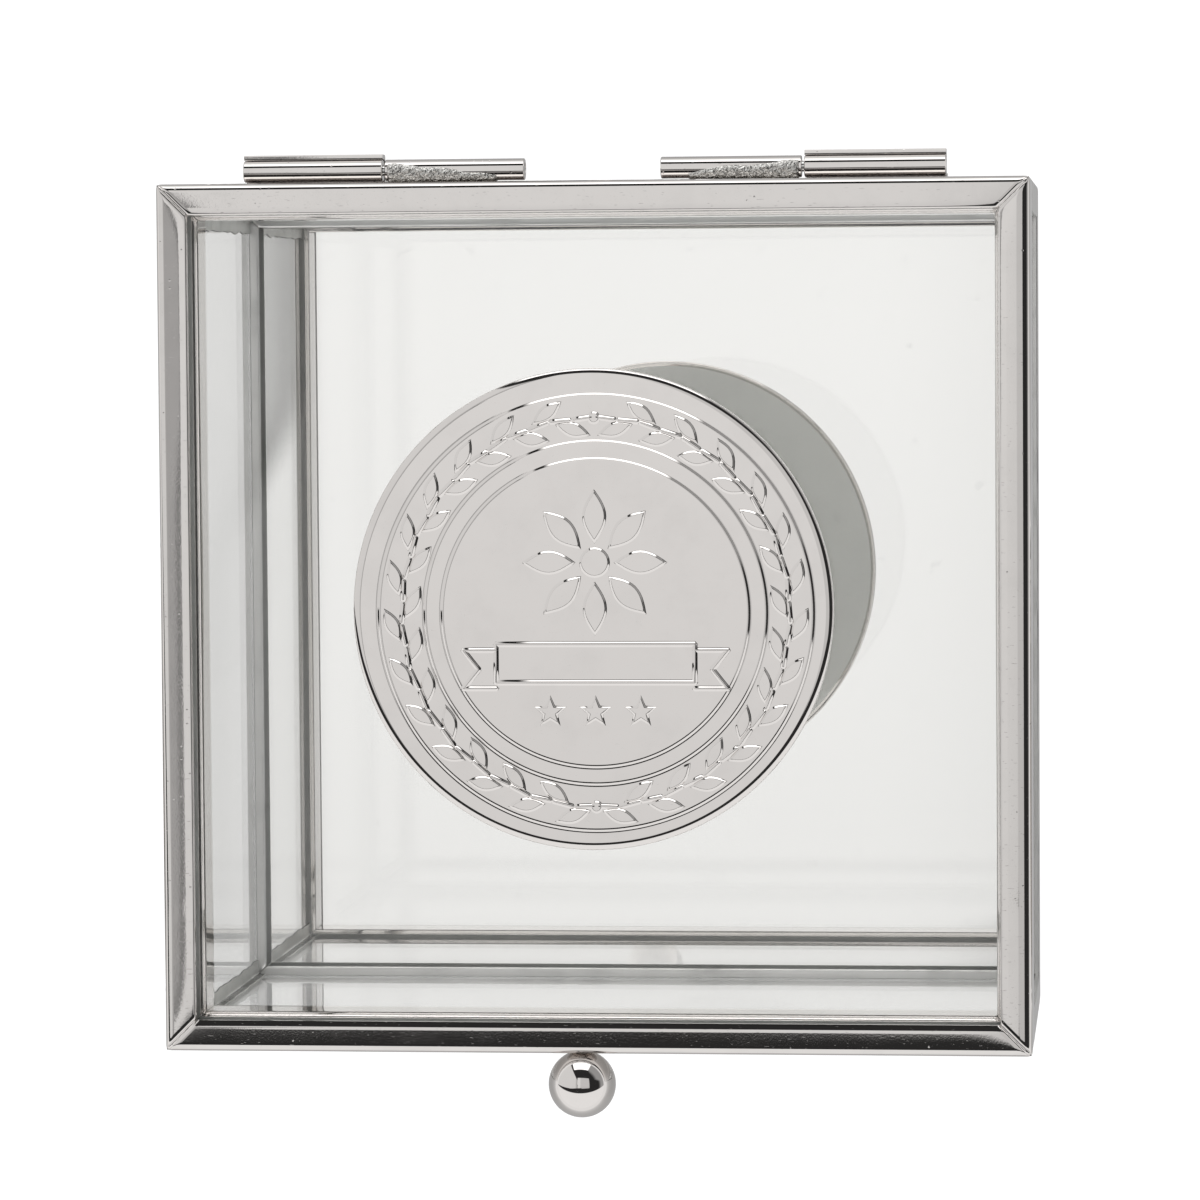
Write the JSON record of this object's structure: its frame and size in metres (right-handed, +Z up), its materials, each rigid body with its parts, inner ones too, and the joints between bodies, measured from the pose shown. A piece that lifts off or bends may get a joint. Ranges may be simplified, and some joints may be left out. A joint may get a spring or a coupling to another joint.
{
  "type": "glass trinket box",
  "caption": "Square clear glass trinket box in polished metal rails, with a mirrored base, a hinged glass lid, a ball knob and a pressed round medallion on the lid.",
  "frame": {"origin": "centre of the underside of the base, on the surface that the box stands on", "axes": "+X to the right seen from the knob, +Y from the knob to the hinges, +Z up"},
  "size_m": [0.08, 0.0887, 0.0415],
  "materials": {
    "plated_metal": "polished silver plate, fine pits and scratches",
    "glass": "clear, faintly green at the cut edges",
    "mirror": "silvered at the back, clear glass in front",
    "felt": "short dark felt",
    "steel_wire": "drawn wire",
    "solder": "rough, plated over",
    "medallion_metal": "pressed and polished, satin field",
    "adhesive": "matt grey adhesive foam"
  },
  "bodies": {
    "box": {"base_rail_front": "plated_metal", "base_rail_back": "plated_metal", "base_rail_left": "plated_metal", "base_rail_right": "plated_metal", "base_mirror": "mirror", "base_pad": "felt", "wall_glass_front": "glass", "wall_glass_back": "glass", "wall_glass_left": "glass", "wall_glass_right": "glass", "corner_post_front_left": "plated_metal", "corner_post_front_right": "plated_metal", "corner_post_back_left": "plated_metal", "corner_post_back_right": "plated_metal", "top_rail_front": "plated_metal", "top_rail_back": "plated_metal", "top_rail_left": "plated_metal", "top_rail_right": "plated_metal", "hinge_saddle_left": "plated_metal", "hinge_box_knuckle_left": "plated_metal", "hinge_pin_left": "steel_wire", "hinge_saddle_right": "plated_metal", "hinge_box_knuckle_right": "plated_metal", "hinge_pin_right": "steel_wire"},
    "lid": {"lid_rail_front": "plated_metal", "lid_rail_back": "plated_metal", "lid_rail_left": "plated_metal", "lid_rail_right": "plated_metal", "lid_glass": "glass", "hinge_lid_knuckle_left": "plated_metal", "hinge_solder_left": "solder", "hinge_lid_knuckle_right": "plated_metal", "hinge_solder_right": "solder", "knob_ball": "plated_metal", "knob_stud": "steel_wire", "medallion_plate": "medallion_metal", "medallion_pad": "adhesive"}
  },
  "joints": [
    {"name": "lid_hinge", "type": "hinge", "parent": "box", "child": "lid", "pos_m": [0, 0.04115, 0.03585], "axis": [-1, 0, 0], "range_deg": [0, 120]}
  ]
}
